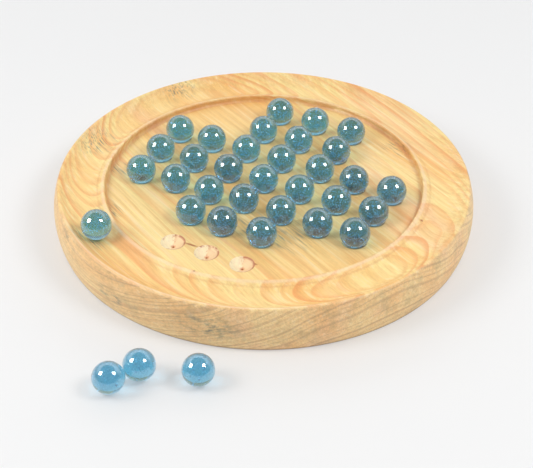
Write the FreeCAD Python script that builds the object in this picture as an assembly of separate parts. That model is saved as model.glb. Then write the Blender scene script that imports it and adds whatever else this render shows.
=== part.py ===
import FreeCAD, Part
import math
import os

# Marble solitaire: a round board turned from one pine plank, with an English cross of drilled
# hollows, a ring groove for captured marbles, and its glass marbles part-way through a game.
# Frame: origin at the centre of the underside, +Z up, +X along the row of seven hollows.
# Rows are numbered 1 to 7 towards -Y, and columns 1 to 7 towards +X. Millimetres throughout.

# The turned board. Its side bulges a little. The lip and the crest are given at their sharp
# corners, before rounding.
base_radius = 110.8
bulge_radius = 113.1
bulge_height = 12.5
lip_corner_radius = 110.1
lip_corner_height = 26.2
lip_round = 1.4
base_round = 0.8
groove_middle_radius = 97.2
groove_bottom_height = 20.9
crest_corner_radius = 85.4
crest_corner_height = 24.3
crest_round = 0.8
field_radius = 85.0
field_height = 20.1
field_cove = 2.0

# The hollows, cut with a drill point after the centres were pricked by hand.
hollow_pitch = 21.4
hollow_radius = 6.6
drill_point_angle = 120.0
prick_radius = 0.5
prick_depth = 0.9
cutter_height = 3.0

# The cross sits a little off the board's centre, and its rows draw closer towards row 7.
cross_offset_x = 1.1
cross_offset_y = -2.2
row_closing = 0.35

# Holes that wandered when they were drilled: (column, row) from the middle hole, and by how much.
wandered = {
    (-3, -1): (1.0, 0.5),
    (-3, 1): (0.0, -1.0),
    (-1, 1): (0.0, -1.0),
    (-1, 3): (1.2, 0.0),
    (0, 1): (-1.0, 0.5),
    (0, 2): (-1.5, -1.0),
    (0, 3): (0.4, 0.0),
    (1, -2): (1.0, 0.0),
    (1, -1): (1.0, 1.0),
    (1, 3): (0.4, 0.0),
    (2, 1): (0.5, -1.0),
}

# The marbles, and the gap that stands for the contact between glass and wood.
marble_radius = 8.0
contact_gap = 0.06
empty_row = 7

# The captured marbles: one in the groove, and three on the table in front of the board.
groove_marble_angle = -123.3
groove_marble_radius = 97.9
table_marbles = [(-1.0, -156.4), (7.2, -142.3), (33.6, -132.6)]

half_point_angle = math.radians(drill_point_angle / 2)
hollow_depth = hollow_radius / math.tan(half_point_angle)


def point(radius, height):
    """A point of the turned outline, in the plane through the axis."""
    return FreeCAD.Vector(radius, 0, height)


def groove_section():
    """Section of the ring groove, from the lip's sharp corner to the crest's."""
    lip = point(lip_corner_radius, lip_corner_height)
    groove = point(groove_middle_radius, groove_bottom_height)
    crest = point(crest_corner_radius, crest_corner_height)
    return Part.Arc(lip, groove, crest).toShape()


def board_outline():
    """Half section of the board before its edges are rounded."""
    axis_foot = point(0, 0)
    base_edge = point(base_radius, 0)
    bulge = point(bulge_radius, bulge_height)
    lip = point(lip_corner_radius, lip_corner_height)
    crest = point(crest_corner_radius, crest_corner_height)
    field_edge = point(field_radius, field_height)
    field_middle = point(0, field_height)
    edges = [
        Part.makeLine(axis_foot, base_edge),
        Part.Arc(base_edge, bulge, lip).toShape(),
        groove_section(),
        Part.makeLine(crest, field_edge),
        Part.makeLine(field_edge, field_middle),
        Part.makeLine(field_middle, axis_foot),
    ]
    return Part.Face(Part.Wire(edges))


def ring_edge(solid, radius, height):
    """The circular edge of a turned solid at this radius and height."""
    for edge in solid.Edges:
        if not isinstance(edge.Curve, Part.Circle):
            continue
        same_radius = abs(edge.Curve.Radius - radius) < 0.01
        same_height = abs(edge.Curve.Center.z - height) < 0.01
        if same_radius and same_height:
            return edge
    raise ValueError("no ring edge at radius %.2f, height %.2f" % (radius, height))


def turned_blank():
    """The board off the lathe: side, lip, ring groove, crest, and field with a coved wall."""
    blank = board_outline().revolve(FreeCAD.Vector(0, 0, 0), FreeCAD.Vector(0, 0, 1), 360)
    rounds = [
        (lip_corner_radius, lip_corner_height, lip_round),
        (base_radius, 0, base_round),
        (crest_corner_radius, crest_corner_height, crest_round),
        (field_radius, field_height, field_cove),
    ]
    for radius, height, rounding in rounds:
        blank = blank.makeFillet(rounding, [ring_edge(blank, radius, height)])
    return blank


def cross_cells():
    """Column and row steps from the middle hole, for the 33 hollows of the English cross."""
    steps = range(-3, 4)
    return [(column, row) for row in steps for column in steps if abs(column) < 2 or abs(row) < 2]


def hollow_centre(column, row):
    """Where the hollow of this cell was drilled."""
    wander_x, wander_y = wandered.get((column, row), (0.0, 0.0))
    x = cross_offset_x + hollow_pitch * column - row_closing * column * row + wander_x
    y = cross_offset_y - hollow_pitch * row + wander_y
    return x, y


def hollow_cutter(x, y):
    """Drill point standing on its tip, with the prick of the marking awl below it."""
    tip_height = field_height - hollow_depth
    top_radius = (hollow_depth + cutter_height) * math.tan(half_point_angle)
    tip = FreeCAD.Vector(x, y, tip_height)
    drill = Part.makeCone(0, top_radius, hollow_depth + cutter_height, tip)
    foot = FreeCAD.Vector(x, y, tip_height - prick_depth)
    prick = Part.makeCylinder(prick_radius, prick_depth + hollow_depth / 2, foot)
    return drill.fuse(prick)


def board():
    """The turned blank with every hollow drilled."""
    cutters = [hollow_cutter(*hollow_centre(*cell)) for cell in cross_cells()]
    return turned_blank().cut(cutters)


def marble(x, y, z):
    """One glass marble with its centre at this place."""
    return Part.makeSphere(marble_radius, FreeCAD.Vector(x, y, z))


def seated_marbles():
    """A marble in each hollow, but for the row that has been cleared."""
    above_tip = (marble_radius + contact_gap) / math.sin(half_point_angle)
    seat_height = field_height - hollow_depth + above_tip
    nodes = {}
    for column, row in cross_cells():
        if row + 4 == empty_row:
            continue
        x, y = hollow_centre(column, row)
        nodes["marble_row%d_col%d" % (row + 4, column + 4)] = marble(x, y, seat_height)
    return nodes


def captured_marbles():
    """The marble in the ring groove, and those that lie on the table."""
    angle = math.radians(groove_marble_angle)
    x = groove_marble_radius * math.cos(angle)
    y = groove_marble_radius * math.sin(angle)
    groove = groove_section().Curve
    reach = groove.Radius - marble_radius - contact_gap
    aside = groove_marble_radius - groove.Center.x
    z = groove.Center.z - math.sqrt(reach ** 2 - aside ** 2)
    nodes = {"captured_marble_in_groove": marble(x, y, z)}
    for number, (table_x, table_y) in enumerate(table_marbles, start=1):
        nodes["captured_marble_on_table%d" % number] = marble(table_x, table_y, marble_radius)
    return nodes


def main():
    os.makedirs("parts", exist_ok=True)
    nodes = {"board": board()}
    nodes.update(seated_marbles())
    nodes.update(captured_marbles())
    for name, shape in nodes.items():
        shape.exportStep("parts/%s.step" % name)
        print(name, "valid", shape.isValid(), "volume %.1f mm3" % shape.Volume)


main()
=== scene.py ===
import math
import random

import bmesh
import bpy
from mathutils import Matrix, Vector


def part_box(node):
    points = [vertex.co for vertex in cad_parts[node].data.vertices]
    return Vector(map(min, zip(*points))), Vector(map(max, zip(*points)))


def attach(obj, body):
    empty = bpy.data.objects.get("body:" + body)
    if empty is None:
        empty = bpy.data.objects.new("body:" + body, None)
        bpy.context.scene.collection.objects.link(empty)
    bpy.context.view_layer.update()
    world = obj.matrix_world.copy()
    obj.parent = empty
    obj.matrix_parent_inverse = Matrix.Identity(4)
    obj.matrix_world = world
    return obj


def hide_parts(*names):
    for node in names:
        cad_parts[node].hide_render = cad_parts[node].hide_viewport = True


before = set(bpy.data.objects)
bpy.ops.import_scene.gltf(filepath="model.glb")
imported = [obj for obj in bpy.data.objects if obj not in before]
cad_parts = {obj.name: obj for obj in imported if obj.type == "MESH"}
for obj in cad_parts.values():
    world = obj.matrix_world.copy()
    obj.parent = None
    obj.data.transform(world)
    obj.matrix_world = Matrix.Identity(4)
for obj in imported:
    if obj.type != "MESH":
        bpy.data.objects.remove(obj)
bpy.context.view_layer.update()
MM = 0.001


# ---------------------------------------------------------------------------------------------
# The board. One round plank of knotty white pine, turned on a lathe: a rounded lip, a ring
# groove, a narrow crest and a sunk playing field. The hollows are drilled, and left unwaxed.

def linear(hex_colour):
    """An sRGB colour such as "f4d898" as the linear colour that a shader takes."""
    channels = [int(hex_colour[i:i + 2], 16) / 255 for i in (0, 2, 4)]
    bent = [c / 12.92 if c <= 0.04045 else ((c + 0.055) / 1.055) ** 2.4 for c in channels]
    return (*bent, 1.0)


def add_node(tree, kind, inputs=None, **settings):
    """Adds a node. An input is a plain value, or an earlier node or output to link."""
    node = tree.nodes.new(kind)
    for name, value in settings.items():
        setattr(node, name, value)
    for socket, value in (inputs or {}).items():
        if isinstance(value, bpy.types.Node):
            value = next(output for output in value.outputs if output.enabled)
        if isinstance(value, bpy.types.NodeSocket):
            tree.links.new(value, node.inputs[socket])
        else:
            node.inputs[socket].default_value = value
    return node


def new_material(name):
    """An empty node material and its tree, with the output node already there."""
    material = bpy.data.materials.new(name)
    material.use_nodes = True
    tree = material.node_tree
    tree.nodes.clear()
    add_node(tree, "ShaderNodeOutputMaterial", name="Output")
    return material, tree


# The log that the plank was sawn from: which way it lay, and how far below the board its pith was.
grain_angle = math.radians(-27)
pith_below = 112.0
pith_aside = 2.0
log_taper = 0.02
ring_spacing = 3.3
trunk_wave_length = 60.0
trunk_wave_depth = 16.0

# How long, wide and high the marks of the wood are, with the grain and across it.
orange_patch = 26.0
pink_patch = 22.0
long_streak = (60.0, 2.2, 2.2)
stain_streak = (14.0, 0.9, 0.9)
stain_streak_on_side = (9.0, 4.0, 3.0)
weather_blotch = 9.0
# The patches of painted shade in the recess.
recess_shade_patch = 12.0
torn_fibre_size = 2.6
fibre = (30.0, 0.5, 0.5)
pore = (2.0, 1 / 1.2, 1 / 1.2)

# Where the lathe left its edges, and how far out the hollows go.
field_height = 20.1
hollow_floor = 16.3
hollow_reach = 80.0
recess_radius = 84.6
crest_radius = 86.9
crest_foot_radius = 89.5
lip_radius = 109.4
side_radius = (109.9, 110.8)
side_foot = (0.5, 1.4)
below_hollows = 10.0

# From where the side is weathered, towards the right, and where the lip's painted highlight grows,
# towards the front.
weathered_from = (-78.0, -20.0)
lip_highlight_from = (-66.0, -96.0)

# How far under the field the fibre is torn, and how far over the hollow's tip the wood is pricked.
torn_depth = (0.45, 0.85)
pricked_height = (0.3, 0.9)

# The colours of the wood: under the wax, on the bare side, of its marks, of its painted shade and
# highlights, and in the hollows.
yellow_wood = linear("f9de98")
orange_wood = linear("f5be70")
pink_wood = linear("f5c3a0")
tan_streak = linear("dfab66")
straw_streak = linear("fdeabc")
late_wood = linear("eb9350")
late_wood_on_side = linear("b0744a")
fine_line = linear("cc8c54")
fine_line_on_side = linear("8a5c3c")
bare_wood = linear("f1c39c")
weathered_blotch = linear("a58f68")
# Dirt and painted contact shadow at the foot of the side.
grime_and_contact_shade_brown = linear("6e4a32")
stain_grey = linear("75756a")
resin_brown = linear("b87444")
# Painted shade on the recess wall and at the crest's foot.
recess_shade_brown = linear("cc7430")
# Painted highlight on the crest and the front of the lip.
edge_highlight_pale = linear("fce2c2")
raw_fibre = linear("fff2d2")
# Painted shade on the walls of the hollows that face left.
shaded_raw_fibre_pink = linear("f6cea9")
raw_arc = linear("cf8050")
torn_brown = linear("b9693c")
tip_brown = linear("d07a48")

# Blue stain, as the middle of each patch and its reach along X, Y and Z.
stain_patches = [
    ((-101, -8, 22), (13, 16, 12)),
    ((-59, -87, 21), (17, 11, 8)),
    ((-61, -58, 20), (9, 11, 4)),
    ((-76, -22, 20), (10, 7, 5)),
    ((22, -36, 20), (36, 17, 5)),
    ((52, 66, 20), (17, 10, 6)),
    ((-88, 62, 22), (12, 16, 8)),
    ((-29, -109, 11), (17, 7, 6)),
    ((27, -109.5, 14), (24, 8, 9)),
]
# Resin specks and torn fibre, as the middle of each mark and its reach along X, Y and Z.
brown_marks = [
    ((89, 6, 22), (1.1, 1.0, 2)),
    ((75, -36, 20.1), (1.0, 1.0, 1)),
    ((77, -40, 20.1), (0.8, 1.0, 1)),
    ((5.5, -86, 23.7), (0.8, 0.8, 1)),
    ((-8.5, -64.4, 20.1), (5.5, 0.95, 1)),
    ((27.2, -63.4, 20.1), (2.4, 0.9, 1)),
]


def per_mm(sizes):
    """The scales that make a pattern's marks this many millimetres long, wide and high."""
    return tuple(1 / size for size in sizes)


def masked_near(tree, place, middle, reach):
    """One at the middle of a patch and nothing at its edge. The place is in millimetres."""
    offset = add_node(tree, "ShaderNodeVectorMath", {0: place, 1: middle}, operation="SUBTRACT")
    scaled = add_node(tree, "ShaderNodeVectorMath", {0: offset, 1: reach}, operation="DIVIDE")
    away = add_node(tree, "ShaderNodeVectorMath", {0: scaled}, operation="LENGTH")
    return add_node(tree, "ShaderNodeMapRange", {"Value": away, "From Min": 1.0, "From Max": 0.35})


def ring_band(tree, from_axis, radius, reach, strength):
    """A turned band of the board: this strong at its middle radius, and nothing past its reach."""
    off = add_node(tree, "ShaderNodeMath", {0: from_axis, 1: radius}, operation="SUBTRACT")
    size = add_node(tree, "ShaderNodeMath", {0: off}, operation="ABSOLUTE")
    return add_node(tree, "ShaderNodeMapRange", {
        "Value": size, "From Min": reach, "From Max": reach * 0.2, "To Max": strength})


def tree_rings(tree, bent, log):
    """The growth rings: how late in its season each point grew, weak years and strong ones."""
    across = add_node(tree, "ShaderNodeVectorMath", {0: bent, 1: (0, 1, 1)}, operation="MULTIPLY")
    radius = add_node(tree, "ShaderNodeVectorMath", {0: across}, operation="LENGTH")
    along = add_node(tree, "ShaderNodeSeparateXYZ", {0: log}).outputs["X"]
    tapered = add_node(tree, "ShaderNodeMath", {
        0: along, 1: log_taper, 2: radius}, operation="MULTIPLY_ADD")
    rings = add_node(tree, "ShaderNodeMath", {0: tapered, 1: 1 / ring_spacing}, operation="MULTIPLY")
    uneven = add_node(tree, "ShaderNodeTexNoise", {
        "W": rings, "Scale": 0.35, "Detail": 1.0}, noise_dimensions="1D")
    years = add_node(tree, "ShaderNodeMath", {0: uneven, 1: 1.6, 2: rings}, operation="MULTIPLY_ADD")
    year = add_node(tree, "ShaderNodeMath", {0: years}, operation="FLOOR")
    season = add_node(tree, "ShaderNodeMath", {0: years}, operation="FRACT")
    vigour = add_node(tree, "ShaderNodeTexWhiteNoise", {"W": year}, noise_dimensions="1D")
    late = add_node(tree, "ShaderNodeValToRGB", {"Fac": season})
    late.color_ramp.interpolation = "EASE"
    late.color_ramp.elements[0].position = 0.25
    late.color_ramp.elements[0].color = (0, 0, 0, 1)
    late.color_ramp.elements[1].position = 0.88
    late.color_ramp.elements[1].color = (1, 1, 1, 1)
    late.color_ramp.elements.new(1.0).color = (0, 0, 0, 1)
    strength = add_node(tree, "ShaderNodeMapRange", {
        "Value": vigour, "To Min": 0.15, "To Max": 0.8})
    strong = add_node(tree, "ShaderNodeMath", {0: late, 1: strength}, operation="MULTIPLY")
    return strong, years


def pine_ground(tree, slow, bent):
    """Yellower, oranger and pinker wood in patches, and long streaks from pale straw to tan."""
    patches = add_node(tree, "ShaderNodeTexNoise", {
        "Vector": slow, "Scale": 1 / orange_patch, "Detail": 2.5})
    orange = add_node(tree, "ShaderNodeMapRange", {
        "Value": patches, "From Min": 0.42, "From Max": 0.68, "To Max": 0.85})
    ground = add_node(tree, "ShaderNodeMix", {
        "Factor": orange, "A": yellow_wood, "B": orange_wood}, data_type="RGBA")
    elsewhere = add_node(tree, "ShaderNodeVectorMath", {0: slow, 1: (90, 40, 10)}, operation="ADD")
    pinkness = add_node(tree, "ShaderNodeTexNoise", {"Vector": elsewhere, "Scale": 1 / pink_patch})
    pink = add_node(tree, "ShaderNodeMapRange", {
        "Value": pinkness, "From Min": 0.52, "From Max": 0.7, "To Max": 0.45})
    ground = add_node(tree, "ShaderNodeMix", {
        "Factor": pink, "A": ground, "B": pink_wood}, data_type="RGBA")

    drawn_out = add_node(tree, "ShaderNodeVectorMath", {
        0: bent, 1: per_mm(long_streak)}, operation="MULTIPLY")
    long_streaks = add_node(tree, "ShaderNodeTexNoise", {
        "Vector": drawn_out, "Scale": 1.0, "Detail": 2.5, "Roughness": 0.6})
    tan = add_node(tree, "ShaderNodeMapRange", {
        "Value": long_streaks, "From Min": 0.48, "From Max": 0.72, "To Max": 0.5})
    straw = add_node(tree, "ShaderNodeMapRange", {
        "Value": long_streaks, "From Min": 0.46, "From Max": 0.28, "To Max": 0.5})
    ground = add_node(tree, "ShaderNodeMix", {
        "Factor": tan, "A": ground, "B": tan_streak}, data_type="RGBA")
    ground = add_node(tree, "ShaderNodeMix", {
        "Factor": straw, "A": ground, "B": straw_streak}, data_type="RGBA")
    return ground


def ring_lines(tree, ground, rings, years, x, from_axis, on_side):
    """Soft orange rings on the top, and sharper brown ones with fine lines between on the side."""
    on_rim = add_node(tree, "ShaderNodeMapRange", {
        "Value": from_axis, "From Min": hollow_reach, "From Max": recess_radius,
        "To Min": 0.5, "To Max": 0.85})
    ring_depth = add_node(tree, "ShaderNodeMapRange", {
        "Value": on_side, "To Min": on_rim, "To Max": 0.5})
    soft = add_node(tree, "ShaderNodeMath", {0: rings, 1: ring_depth}, operation="MULTIPLY")
    ring_colour = add_node(tree, "ShaderNodeMix", {
        "Factor": on_side, "A": late_wood, "B": late_wood_on_side}, data_type="RGBA")
    ringed = add_node(tree, "ShaderNodeMix", {
        "Factor": soft, "A": ground, "B": ring_colour}, data_type="RGBA")
    finer = add_node(tree, "ShaderNodeMath", {0: years, 1: 2.6}, operation="MULTIPLY")
    fine_noise = add_node(tree, "ShaderNodeTexNoise", {
        "W": finer, "Scale": 1.0, "Detail": 1.0}, noise_dimensions="1D")
    fine_lines = add_node(tree, "ShaderNodeMapRange", {
        "Value": fine_noise, "From Min": 0.54, "From Max": 0.66})
    rightward = add_node(tree, "ShaderNodeMapRange", {
        "Value": x, "From Min": weathered_from[0], "From Max": weathered_from[1], "To Min": 0.12})
    weathered = add_node(tree, "ShaderNodeMath", {0: on_side, 1: rightward}, operation="MULTIPLY")
    fine_depth = add_node(tree, "ShaderNodeMapRange", {
        "Value": weathered, "To Min": 0.08, "To Max": 0.36})
    fine = add_node(tree, "ShaderNodeMath", {0: fine_lines, 1: fine_depth}, operation="MULTIPLY")
    fine_colour = add_node(tree, "ShaderNodeMix", {
        "Factor": on_side, "A": fine_line, "B": fine_line_on_side}, data_type="RGBA")
    ringed = add_node(tree, "ShaderNodeMix", {
        "Factor": fine, "A": ringed, "B": fine_colour}, data_type="RGBA")
    return ringed, weathered


def bare_side(tree, ringed, spot, height, on_side, weathered):
    """The side was never waxed: pinker and duller, blotched grey and brown, and darker at its foot from
    dirt and a painted contact shadow.
    """
    pinker = add_node(tree, "ShaderNodeMath", {0: on_side, 1: 0.34}, operation="MULTIPLY")
    sided = add_node(tree, "ShaderNodeMix", {
        "Factor": pinker, "A": ringed, "B": bare_wood}, data_type="RGBA")
    blotches = add_node(tree, "ShaderNodeTexNoise", {
        "Vector": spot, "Scale": 1 / weather_blotch, "Detail": 4.0, "Roughness": 0.65})
    blotched = add_node(tree, "ShaderNodeMapRange", {
        "Value": blotches, "From Min": 0.5, "From Max": 0.66, "To Max": 0.34})
    blotch = add_node(tree, "ShaderNodeMath", {0: blotched, 1: weathered}, operation="MULTIPLY")
    sided = add_node(tree, "ShaderNodeMix", {
        "Factor": blotch, "A": sided, "B": weathered_blotch}, data_type="RGBA")
    # Painted contact shadow along the foot of the side, mixed with dirt.
    grime_and_contact_shade = add_node(tree, "ShaderNodeMapRange", {
        "Value": height, "From Min": side_foot[1], "From Max": side_foot[0], "To Max": 0.6})
    sided = add_node(tree, "ShaderNodeMix", {
        "Factor": grime_and_contact_shade, "A": sided, "B": grime_and_contact_shade_brown}, data_type="RGBA")
    return sided


def stained_wood(tree, sided, spot, bent, on_side):
    """Blue stain in grey-green streaks along the grain, softer on the side, and the brown marks."""
    stain_reach = 0.0
    for middle, reach in stain_patches:
        patch = masked_near(tree, spot, middle, reach)
        stain_reach = add_node(tree, "ShaderNodeMath", {0: patch, 1: stain_reach}, operation="MAXIMUM")
    streak_shape = add_node(tree, "ShaderNodeMix", {
        "Factor": on_side, "A": per_mm(stain_streak), "B": per_mm(stain_streak_on_side)},
        data_type="VECTOR")
    streaky = add_node(tree, "ShaderNodeVectorMath", {0: bent, 1: streak_shape}, operation="MULTIPLY")
    streaks = add_node(tree, "ShaderNodeTexNoise", {
        "Vector": streaky, "Scale": 1.0, "Detail": 3.0, "Roughness": 0.6})
    stain = add_node(tree, "ShaderNodeMapRange", {
        "Value": streaks, "From Min": 0.48, "From Max": 0.68, "To Max": 0.8})
    stain = add_node(tree, "ShaderNodeMath", {0: stain, 1: stain_reach}, operation="MULTIPLY")
    stained = add_node(tree, "ShaderNodeMix", {
        "Factor": stain, "A": sided, "B": stain_grey}, data_type="RGBA")
    for middle, reach in brown_marks:
        mark = masked_near(tree, spot, middle, reach)
        stained = add_node(tree, "ShaderNodeMix", {
            "Factor": mark, "A": stained, "B": resin_brown}, data_type="RGBA")
    return stained


def painted_edge_light(tree, stained, spot, y, from_axis):
    """Painted brown shade on the recess wall and at the foot of the crest, and painted pale highlights on
    the crest and the front of the lip.
    """
    patchiness = add_node(tree, "ShaderNodeTexNoise", {
        "Vector": spot, "Scale": 1 / recess_shade_patch})
    patchy = add_node(tree, "ShaderNodeMapRange", {
        "Value": patchiness, "From Min": 0.3, "From Max": 0.7, "To Min": 0.35})
    # Painted shade: brown, in patches, on the recess wall and at the crest's foot.
    recess = ring_band(tree, from_axis, recess_radius, reach=1.5, strength=0.62)
    foot = ring_band(tree, from_axis, crest_foot_radius, reach=0.9, strength=0.25)
    both = add_node(tree, "ShaderNodeMath", {0: recess, 1: foot}, operation="MAXIMUM")
    painted_recess_shade = add_node(tree, "ShaderNodeMath", {0: both, 1: patchy}, operation="MULTIPLY")
    recess_shaded = add_node(tree, "ShaderNodeMix", {
        "Factor": painted_recess_shade, "A": stained, "B": recess_shade_brown}, data_type="RGBA")
    # Painted highlights along the crest and along the lip, the lip's only towards the front.
    crest = ring_band(tree, from_axis, crest_radius, reach=1.3, strength=0.4)
    lip = ring_band(tree, from_axis, lip_radius, reach=0.9, strength=0.5)
    nearer = add_node(tree, "ShaderNodeMapRange", {
        "Value": y, "From Min": lip_highlight_from[0], "From Max": lip_highlight_from[1]})
    front_lip_highlight = add_node(tree, "ShaderNodeMath", {0: lip, 1: nearer}, operation="MULTIPLY")
    edges = add_node(tree, "ShaderNodeMath", {0: crest, 1: front_lip_highlight}, operation="MAXIMUM")
    edges_shaded_and_lit = add_node(tree, "ShaderNodeMix", {
        "Factor": edges, "A": recess_shaded, "B": edge_highlight_pale}, data_type="RGBA")
    return edges_shaded_and_lit


def drilled_hollows(tree, edges_shaded_and_lit, spot, height, from_axis):
    """The drilled hollows: pale raw fibre with painted pinker shade on the walls that face left, and torn
    brown at the rim, drawn heavier on those walls as painted shade.
    """
    inside = add_node(tree, "ShaderNodeMath", {0: from_axis, 1: hollow_reach}, operation="LESS_THAN")
    above = add_node(tree, "ShaderNodeMath", {
        0: height, 1: below_hollows}, operation="GREATER_THAN")
    drilled = add_node(tree, "ShaderNodeMath", {0: inside, 1: above}, operation="MULTIPLY")
    below_field = add_node(tree, "ShaderNodeMapRange", {
        "Value": height, "From Min": field_height - 0.05, "From Max": field_height - 0.15})
    cut = add_node(tree, "ShaderNodeMath", {0: drilled, 1: below_field}, operation="MULTIPLY")
    facing = add_node(tree, "ShaderNodeVectorMath", {
        0: add_node(tree, "ShaderNodeNewGeometry").outputs["True Normal"], 1: (-1.8, -0.5, 0.0)},
        operation="DOT_PRODUCT")
    frayed = add_node(tree, "ShaderNodeTexNoise", {
        "Vector": spot, "Scale": 1 / torn_fibre_size, "Detail": 3.0, "Roughness": 0.65})
    wavering = add_node(tree, "ShaderNodeMath", {
        0: frayed, 1: 1.4, 2: facing}, operation="MULTIPLY_ADD")
    # Painted shade: the walls that face left are drawn pinker, the others pale.
    painted_shade_side = add_node(tree, "ShaderNodeMapRange", {
        "Value": wavering, "From Min": 0.45, "From Max": 0.8})
    raw_colour = add_node(tree, "ShaderNodeMix", {
        "Factor": painted_shade_side, "A": raw_fibre, "B": shaded_raw_fibre_pink}, data_type="RGBA")
    raw_depth = add_node(tree, "ShaderNodeMath", {0: cut, 1: 0.62}, operation="MULTIPLY")
    raw = add_node(tree, "ShaderNodeMix", {
        "Factor": raw_depth, "A": edges_shaded_and_lit, "B": raw_colour}, data_type="RGBA")
    off_arc = add_node(tree, "ShaderNodeMath", {0: wavering, 1: 0.62}, operation="SUBTRACT")
    off_arc = add_node(tree, "ShaderNodeMath", {0: off_arc}, operation="ABSOLUTE")
    arc = add_node(tree, "ShaderNodeMapRange", {
        "Value": off_arc, "From Min": 0.13, "From Max": 0.03, "To Max": 0.45})
    arc = add_node(tree, "ShaderNodeMath", {0: arc, 1: cut}, operation="MULTIPLY")
    raw = add_node(tree, "ShaderNodeMix", {
        "Factor": arc, "A": raw, "B": raw_arc}, data_type="RGBA")
    # Torn fibre at the rim, drawn heavier on the walls that face left as painted shade.
    fray_on_shaded_side = add_node(tree, "ShaderNodeMapRange", {
        "Value": facing, "From Min": -0.6, "From Max": 0.5, "To Min": -0.08, "To Max": 0.14})
    fray = add_node(tree, "ShaderNodeMath", {0: frayed, 1: fray_on_shaded_side}, operation="ADD")
    torn_fibre = add_node(tree, "ShaderNodeMapRange", {
        "Value": fray, "From Min": 0.45, "From Max": 0.6, "To Max": 0.85})
    rim = add_node(tree, "ShaderNodeMapRange", {
        "Value": height, "From Min": field_height - torn_depth[1],
        "From Max": field_height - torn_depth[0]})
    torn_rim = add_node(tree, "ShaderNodeMath", {0: rim, 1: torn_fibre}, operation="MULTIPLY")
    torn = add_node(tree, "ShaderNodeMath", {0: torn_rim, 1: cut}, operation="MULTIPLY")
    raw = add_node(tree, "ShaderNodeMix", {
        "Factor": torn, "A": raw, "B": torn_brown}, data_type="RGBA")
    deep = add_node(tree, "ShaderNodeMapRange", {
        "Value": height, "From Min": hollow_floor + pricked_height[1],
        "From Max": hollow_floor + pricked_height[0], "To Max": 0.8})
    tip = add_node(tree, "ShaderNodeMath", {0: cut, 1: deep}, operation="MULTIPLY")
    pricked = add_node(tree, "ShaderNodeMix", {
        "Factor": tip, "A": raw, "B": tip_brown}, data_type="RGBA")
    return pricked


def make_pine():
    """Slow-grown pine, scraped and waxed: pale straw between soft orange ring lines."""
    material, tree = new_material("waxed turned pine")
    place = add_node(tree, "ShaderNodeTexCoord").outputs["Object"]
    spot = add_node(tree, "ShaderNodeMapping", {"Vector": place, "Scale": (1 / MM, 1 / MM, 1 / MM)})
    log = add_node(tree, "ShaderNodeMapping", {
        "Vector": spot,
        "Rotation": (0, 0, -grain_angle),
        "Location": (0, -pith_aside, pith_below)})
    x, y, height = add_node(tree, "ShaderNodeSeparateXYZ", {0: spot}).outputs
    flat = add_node(tree, "ShaderNodeVectorMath", {0: spot, 1: (1, 1, 0)}, operation="MULTIPLY")
    from_axis = add_node(tree, "ShaderNodeVectorMath", {0: flat}, operation="LENGTH")
    on_side = add_node(tree, "ShaderNodeMapRange", {
        "Value": from_axis, "From Min": side_radius[0], "From Max": side_radius[1]})

    # Slow waves in the trunk, about 60 mm across and four times as long.
    slow = add_node(tree, "ShaderNodeVectorMath", {0: log, 1: (0.25, 1, 1)}, operation="MULTIPLY")
    waves = add_node(tree, "ShaderNodeTexNoise", {
        "Vector": slow, "Scale": 1 / trunk_wave_length, "Detail": 2.0, "Roughness": 0.5}).outputs["Color"]
    centred = add_node(tree, "ShaderNodeVectorMath", {0: waves, 1: (0.5, 0.5, 0.5)}, operation="SUBTRACT")
    bent = add_node(tree, "ShaderNodeVectorMath", {
        0: centred, 1: (0, trunk_wave_depth, trunk_wave_depth), 2: log}, operation="MULTIPLY_ADD")
    rings, years = tree_rings(tree, bent, log)

    ground = pine_ground(tree, slow, bent)
    ringed, weathered = ring_lines(tree, ground, rings, years, x, from_axis, on_side)
    sided = bare_side(tree, ringed, spot, height, on_side, weathered)
    stained = stained_wood(tree, sided, spot, bent, on_side)
    edges_shaded_and_lit = painted_edge_light(tree, stained, spot, y, from_axis)
    pricked = drilled_hollows(tree, edges_shaded_and_lit, spot, height, from_axis)

    # Fine fibres, and the mottle of open pores where the lathe cut across them.
    combed = add_node(tree, "ShaderNodeVectorMath", {0: bent, 1: per_mm(fibre)}, operation="MULTIPLY")
    fibres = add_node(tree, "ShaderNodeTexNoise", {
        "Vector": combed, "Scale": 1.0, "Detail": 3.0, "Roughness": 0.6})
    pitted = add_node(tree, "ShaderNodeVectorMath", {0: log, 1: per_mm(pore)}, operation="MULTIPLY")
    mottle = add_node(tree, "ShaderNodeTexNoise", {
        "Vector": pitted, "Scale": 1.0, "Detail": 3.0, "Roughness": 0.65})
    fibre_shade = add_node(tree, "ShaderNodeMapRange", {
        "Value": fibres, "From Min": 0.3, "From Max": 0.7, "To Min": 0.92, "To Max": 1.06})
    mottle_depth = add_node(tree, "ShaderNodeMapRange", {
        "Value": on_side, "To Min": 0.16, "To Max": 0.6})
    off_middle = add_node(tree, "ShaderNodeMath", {0: mottle, 1: 0.5}, operation="SUBTRACT")
    mottle_shade = add_node(tree, "ShaderNodeMath", {
        0: off_middle, 1: mottle_depth, 2: 1.0}, operation="MULTIPLY_ADD")
    shade = add_node(tree, "ShaderNodeMath", {0: fibre_shade, 1: mottle_shade}, operation="MULTIPLY")
    coloured = add_node(tree, "ShaderNodeVectorMath", {0: pricked, "Scale": shade}, operation="SCALE")

    relief = add_node(tree, "ShaderNodeMath", {0: mottle, 1: 0.6, 2: fibres}, operation="MULTIPLY_ADD")
    bump = add_node(tree, "ShaderNodeBump", {
        "Height": relief, "Strength": 0.3, "Distance": 0.12 * MM})
    gloss = add_node(tree, "ShaderNodeMapRange", {
        "Value": fibres, "From Min": 0.3, "From Max": 0.7, "To Min": 0.42, "To Max": 0.54})
    shader = add_node(tree, "ShaderNodeBsdfPrincipled", {
        "Base Color": coloured, "Roughness": gloss, "Normal": bump})
    tree.links.new(shader.outputs[0], tree.nodes["Output"].inputs["Surface"])
    return material


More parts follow.
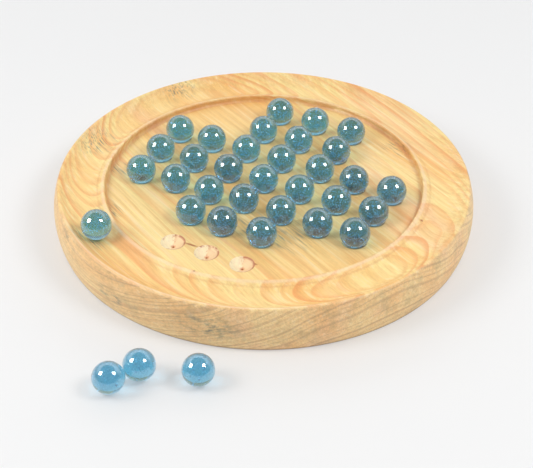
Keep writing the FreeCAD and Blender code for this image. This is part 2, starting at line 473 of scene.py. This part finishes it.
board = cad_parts["board"]
pine = make_pine()
for slot in board.material_slots:
    slot.material = pine


# ---------------------------------------------------------------------------------------------
# The marbles. Pressed soda glass balls, 16 mm across, tinted teal blue through and through,
# with fine air bubbles from the melt. They lie loose in the hollows, the groove and on the table.

def make_glass(name, tint_colour, density):
    """Clear polished soda glass: bright edges, and a tint that deepens with thickness."""
    material, tree = new_material(name)
    shader = add_node(tree, "ShaderNodeBsdfPrincipled", {
        "Base Color": linear("e2ecf8"), "Roughness": 0.0, "IOR": 1.52, "Transmission Weight": 0.94,
        "Coat Weight": 1.0, "Coat Roughness": 0.0, "Coat IOR": 1.7})
    tint = add_node(tree, "ShaderNodeVolumeAbsorption", {
        "Color": tint_colour, "Density": density})
    tree.links.new(shader.outputs[0], tree.nodes["Output"].inputs["Surface"])
    tree.links.new(tint.outputs[0], tree.nodes["Output"].inputs["Volume"])
    return material


def make_bubbles():
    """Fine air bubbles and seed in the glass, which scatter white light."""
    material, tree = new_material("air bubbles")
    shader = add_node(tree, "ShaderNodeBsdfPrincipled", {
        "Base Color": linear("e6f4ff"), "Roughness": 0.35, "IOR": 1.3})
    tree.links.new(shader.outputs[0], tree.nodes["Output"].inputs["Surface"])
    return material


marble_radius = 7.98 * MM
bubble_count = 420
# The smallest, largest and commonest bubble, and how far out from the middle they lie.
bubble_radius = (0.05 * MM, 0.24 * MM, 0.08 * MM)
bubble_depth = (0.2, 0.9)
ball_shapes = 5
# A tint's red, green and blue: the lower the number, the faster the glass takes up that light.
pale_glass = make_glass("teal soda glass", tint_colour=(0.0, 0.73, 0.874, 1), density=118.0)
deep_glass = make_glass("deep teal soda glass", tint_colour=(0.0, 0.66, 0.81, 1), density=130.0)
bubbles = make_bubbles()
# The marbles that take the deeper tint.
deep_marbles = {
    "marble_row1_col5", "marble_row2_col5", "marble_row3_col6", "marble_row3_col7",
    "marble_row4_col3", "marble_row4_col7", "marble_row5_col6", "marble_row5_col7",
    "marble_row6_col4",
}


def glass_ball(name):
    """A glass ball about the origin, and the bubbles in it."""
    mesh = bmesh.new()
    bmesh.ops.create_icosphere(mesh, subdivisions=5, radius=marble_radius)
    for face in mesh.faces:
        face.smooth = True
    for _ in range(bubble_count):
        direction = Vector((random.gauss(0, 1), random.gauss(0, 1), random.gauss(0, 1))).normalized()
        spot = direction * marble_radius * random.uniform(*bubble_depth)
        size = random.triangular(*bubble_radius)
        made = bmesh.ops.create_icosphere(
            mesh, subdivisions=1, radius=size, matrix=Matrix.Translation(spot))
        for face in {face for vert in made["verts"] for face in vert.link_faces}:
            face.material_index = 1
    data = bpy.data.meshes.new(name)
    mesh.to_mesh(data)
    mesh.free()
    data.materials.append(pale_glass)
    data.materials.append(bubbles)
    return data


random.seed(16)
balls = [glass_ball("glass ball %d" % number) for number in range(ball_shapes)]
marble_nodes = sorted(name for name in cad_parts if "marble" in name)
for number, node in enumerate(marble_nodes):
    low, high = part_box(node)
    centre = (Vector(low) + Vector(high)) / 2
    data = balls[number % len(balls)].copy()
    rolled = Matrix.Rotation(random.uniform(0, math.tau), 4, Vector((1, number, 3)))
    data.transform(Matrix.Translation(centre) @ rolled)
    if node in deep_marbles:
        data.materials[0] = deep_glass
    ball = bpy.data.objects.new("glass_" + node, data)
    bpy.context.scene.collection.objects.link(ball)
    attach(ball, node)
    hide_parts(node)


# ---------------------------------------------------------------------------------------------
# The studio: a white table, two square softboxes and a bright backdrop behind.

table_reach = 4.0
table_glow = 0.28


def make_table():
    """A smooth white table top, lit a little from beneath, much wider than the board."""
    mesh = bmesh.new()
    bmesh.ops.create_grid(mesh, x_segments=1, y_segments=1, size=table_reach)
    data = bpy.data.meshes.new("table")
    mesh.to_mesh(data)
    mesh.free()
    material, tree = new_material("matt white laminate")
    shader = add_node(tree, "ShaderNodeBsdfPrincipled", {
        "Base Color": linear("c6c6c6"), "Roughness": 0.6,
        "Emission Color": (1, 1, 1, 1), "Emission Strength": table_glow})
    tree.links.new(shader.outputs[0], tree.nodes["Output"].inputs["Surface"])
    data.materials.append(material)
    table = bpy.data.objects.new("table", data)
    bpy.context.scene.collection.objects.link(table)


make_table()

# How far round the board the camera stands. The lamps hang to its left and right.
view_azimuth = math.radians(26.9)


def add_softbox(name, direction, distance, size, power, brightness):
    """A square softbox that hangs on one corner: its light, and its bright cloth in reflections."""
    turned = Matrix.Rotation(view_azimuth, 3, "Z") @ Vector(direction).normalized()
    facing = turned.to_track_quat("Z", "Y").to_matrix() @ Matrix.Rotation(math.radians(45), 3, "Z")
    light = bpy.data.lights.new(name, "AREA")
    light.shape = "SQUARE"
    light.size = size
    light.energy = power
    lamp = bpy.data.objects.new(name, light)
    lamp.location = turned * distance
    lamp.rotation_euler = facing.to_euler()
    lamp.visible_glossy = False

    mesh = bmesh.new()
    bmesh.ops.create_grid(mesh, x_segments=1, y_segments=1, size=size / 2)
    bmesh.ops.rotate(mesh, verts=mesh.verts, matrix=facing)
    bmesh.ops.translate(mesh, verts=mesh.verts, vec=turned * distance)
    data = bpy.data.meshes.new(name + " cloth")
    mesh.to_mesh(data)
    mesh.free()
    material, tree = new_material(name + " cloth")
    glow = add_node(tree, "ShaderNodeEmission", {"Strength": brightness})
    tree.links.new(glow.outputs[0], tree.nodes["Output"].inputs["Surface"])
    data.materials.append(material)
    cloth = bpy.data.objects.new(name + " cloth", data)
    cloth.visible_camera = False
    cloth.visible_diffuse = False
    cloth.visible_transmission = False
    cloth.visible_shadow = False
    for thing in (lamp, cloth):
        bpy.context.scene.collection.objects.link(thing)


softbox_distance = 1.2
cloth_brightness = 17.0
add_softbox(
    "left softbox", direction=(-0.727, -0.20, 0.654), distance=softbox_distance,
    size=0.48, power=4.8, brightness=cloth_brightness)
add_softbox(
    "right softbox", direction=(0.587, -0.238, 0.774), distance=softbox_distance,
    size=0.43, power=4.6, brightness=cloth_brightness)


def add_fill(power, spread, height):
    """Soft light from the ceiling on the camera's side, too even to show as a reflection."""
    light = bpy.data.lights.new("ceiling", "SUN")
    light.energy = power
    light.angle = math.radians(spread)
    lamp = bpy.data.objects.new("ceiling", light)
    lamp.rotation_euler = (math.radians(90 - height), 0, view_azimuth)
    bpy.context.scene.collection.objects.link(lamp)
    lamp.visible_glossy = False


add_fill(power=1.2, spread=150, height=50)


# The room's own light, how bright the paper is at its foot and its top, and the sines of the
# heights at which it brightens and ends.
room_light = 0.12
paper_light = (0.3, 1.3)
paper_rise = (0.1, 0.5)
paper_edge = (0.67, 0.71)


def make_world():
    """Bright paper behind the board up to 43 degrees, and a dark room everywhere else."""
    world = bpy.data.worlds.new("studio")
    bpy.context.scene.world = world
    world.use_nodes = True
    tree = world.node_tree
    tree.nodes.clear()
    direction = add_node(tree, "ShaderNodeTexCoord").outputs["Generated"]
    away = (-math.sin(view_azimuth), math.cos(view_azimuth), 0)
    behind = add_node(tree, "ShaderNodeVectorMath", {0: direction, 1: away}, operation="DOT_PRODUCT")
    height = add_node(tree, "ShaderNodeSeparateXYZ", {0: direction}).outputs["Z"]
    back = add_node(tree, "ShaderNodeMapRange", {
        "Value": behind, "From Min": 0.05, "From Max": 0.3})
    low = add_node(tree, "ShaderNodeMapRange", {
        "Value": height, "From Min": paper_edge[1], "From Max": paper_edge[0]})
    paper = add_node(tree, "ShaderNodeMath", {0: back, 1: low}, operation="MULTIPLY")
    rise = add_node(tree, "ShaderNodeMapRange", {
        "Value": height, "From Min": paper_rise[0], "From Max": paper_rise[1],
        "To Min": paper_light[0], "To Max": paper_light[1]})
    lit = add_node(tree, "ShaderNodeMath", {0: paper, 1: rise}, operation="MULTIPLY")
    level = add_node(tree, "ShaderNodeMath", {0: lit, 1: room_light}, operation="ADD")
    shade = add_node(tree, "ShaderNodeBackground", {
        "Color": (0.98, 0.99, 1.0, 1), "Strength": level})
    output = add_node(tree, "ShaderNodeOutputWorld")
    tree.links.new(shade.outputs[0], output.inputs[0])


make_world()

# The camera: a long lens, 0.75 m from the board, looking down at it from the front right.
view_tilt = math.radians(52.715)
view_roll = math.radians(0.256)
camera_data = bpy.data.cameras.new("camera")
camera_data.lens = 91.93
camera_data.sensor_width = 36
camera = bpy.data.objects.new("camera", camera_data)
bpy.context.scene.collection.objects.link(camera)
camera.location = (0.2736, -0.5358, 0.4445)
aim = Matrix.Rotation(view_azimuth, 3, "Z") @ Matrix.Rotation(view_tilt, 3, "X")
camera.rotation_euler = (aim @ Matrix.Rotation(view_roll, 3, "Z")).to_euler()
bpy.context.scene.camera = camera
bpy.context.scene.view_settings.view_transform = "Standard"
